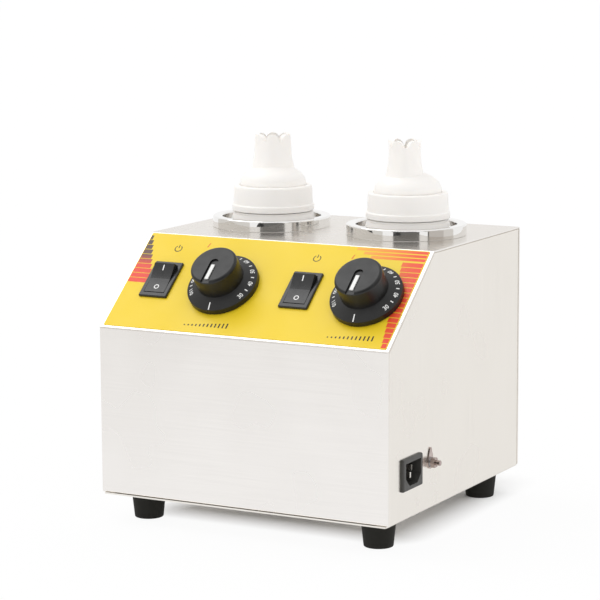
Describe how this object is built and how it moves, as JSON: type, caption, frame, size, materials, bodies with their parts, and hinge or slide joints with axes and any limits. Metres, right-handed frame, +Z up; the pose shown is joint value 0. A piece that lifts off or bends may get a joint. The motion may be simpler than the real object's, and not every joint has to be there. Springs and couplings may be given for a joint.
{
  "type": "hot fudge topping warmer",
  "caption": "Counter warmer for hot toppings: a slanted-front steel case with heated wells that hold squeeze bottles, each with its own switch and thermostat knob.",
  "frame": {"origin": "on the counter, at the middle of the overall length and breadth", "axes": "+X to the right along the front, +Y to the back, +Z up"},
  "size_m": [0.2486, 0.2324, 0.2832],
  "materials": {
    "stainless_sheet": "fine brushed",
    "polished_ring": "polished",
    "well_steel": "drawn",
    "printed_film": "satin printed film",
    "bottle_plastic": "milky translucent",
    "closure_plastic": "milky",
    "black_plastic": "satin black",
    "knob_plastic": "satin black",
    "white_inlay": "white",
    "black_rubber": "matt",
    "silicone": "matt",
    "screw_steel": "zinc plated",
    "earth_metal": "plated",
    "tag_metal": "tinned",
    "pin_brass": "plated",
    "heater_sheet": "heat tinted",
    "mineral_wool": "fibrous",
    "cutout_case": "satin",
    "copper_tube": "drawn copper",
    "thermostat_case": "stamped",
    "spindle_steel": "turned",
    "terminal_plastic": "moulded",
    "lead_sleeve": "extruded"
  },
  "bodies": {
    "case": {"band_heater_left": "heater_sheet", "band_heater_right": "heater_sheet", "base_tray": "stainless_sheet", "collar_left": "polished_ring", "collar_right": "polished_ring", "collar_screws": "screw_steel", "control_panel_label": "printed_film", "cover": "stainless_sheet", "cover_screws": "screw_steel", "earth_nut": "earth_metal", "earth_stud": "earth_metal", "earth_tag": "tag_metal", "earth_washer": "screw_steel", "foot_back_left": "black_rubber", "foot_back_right": "black_rubber", "foot_front_left": "black_rubber", "foot_front_right": "black_rubber", "foot_nuts": "screw_steel", "foot_screws": "screw_steel", "heating_well_left": "well_steel", "heating_well_right": "well_steel", "inlet_housing": "black_plastic", "inlet_pins": "pin_brass", "insulation_left": "mineral_wool", "insulation_right": "mineral_wool", "rocker_housing_left": "black_plastic", "rocker_housing_right": "black_plastic", "sensor_left": "copper_tube", "sensor_right": "copper_tube", "terminal_block": "terminal_plastic", "terminal_screws": "screw_steel", "thermal_cutout_left": "cutout_case", "thermal_cutout_right": "cutout_case", "thermostat_left": "thermostat_case", "thermostat_right": "thermostat_case", "thermostat_screws": "screw_steel", "wiring": "lead_sleeve"},
    "knob_left": {"knob_left": "knob_plastic", "pointer_left": "white_inlay", "thermostat_shaft_left": "spindle_steel"},
    "rocker_left": {"rocker_left": "black_plastic"},
    "bottle_left": {"bottle_left": "bottle_plastic"},
    "nozzle_left": {"nozzle_left": "closure_plastic", "gasket_left": "silicone"},
    "screw_ring_left": {"screw_ring_left": "closure_plastic"},
    "knob_right": {"knob_right": "knob_plastic", "pointer_right": "white_inlay", "thermostat_shaft_right": "spindle_steel"},
    "rocker_right": {"rocker_right": "black_plastic"},
    "bottle_right": {"bottle_right": "bottle_plastic"},
    "nozzle_right": {"nozzle_right": "closure_plastic", "gasket_right": "silicone"},
    "screw_ring_right": {"screw_ring_right": "closure_plastic"}
  },
  "joints": [
    {"name": "knob_left_turn", "type": "hinge", "parent": "case", "child": "knob_left", "pos_m": [-0.03726, -0.08073, 0.18032], "axis": [0, -0.6427, 0.7661], "range_deg": [-300, 0]},
    {"name": "rocker_left_rock", "type": "hinge", "parent": "case", "child": "rocker_left", "pos_m": [-0.09275, -0.07823, 0.1806], "axis": [-1, 0, 0], "range_deg": [0, 20]},
    {"name": "bottle_left_lift", "type": "slide", "parent": "case", "child": "bottle_left", "axis": [0, 0, 1], "range_m": [0, 0.18]},
    {"name": "nozzle_left_rise", "type": "slide", "parent": "bottle_left", "child": "nozzle_left", "axis": [0, 0, 1], "range_m": [0, 0.009]},
    {"name": "screw_ring_left_turn", "type": "hinge", "parent": "nozzle_left", "child": "screw_ring_left", "pos_m": [-0.06075, 0.03695, 0.2241], "axis": [0, 0, 1], "range_deg": [0, 540]},
    {"name": "knob_right_turn", "type": "hinge", "parent": "case", "child": "knob_right", "pos_m": [0.08195, -0.08073, 0.18032], "axis": [0, -0.6427, 0.7661], "range_deg": [-300, 0]},
    {"name": "rocker_right_rock", "type": "hinge", "parent": "case", "child": "rocker_right", "pos_m": [0.02646, -0.07823, 0.1806], "axis": [-1, 0, 0], "range_deg": [0, 20]},
    {"name": "bottle_right_lift", "type": "slide", "parent": "case", "child": "bottle_right", "axis": [0, 0, 1], "range_m": [0, 0.18]},
    {"name": "nozzle_right_rise", "type": "slide", "parent": "bottle_right", "child": "nozzle_right", "axis": [0, 0, 1], "range_m": [0, 0.009]},
    {"name": "screw_ring_right_turn", "type": "hinge", "parent": "nozzle_right", "child": "screw_ring_right", "pos_m": [0.05645, 0.03695, 0.2241], "axis": [0, 0, 1], "range_deg": [0, 540]}
  ],
  "couplings": [
    {"joint": "screw_ring_left_turn", "follows": "nozzle_left_rise", "rad_per_m": 1047.2},
    {"joint": "screw_ring_right_turn", "follows": "nozzle_right_rise", "rad_per_m": 1047.2}
  ]
}
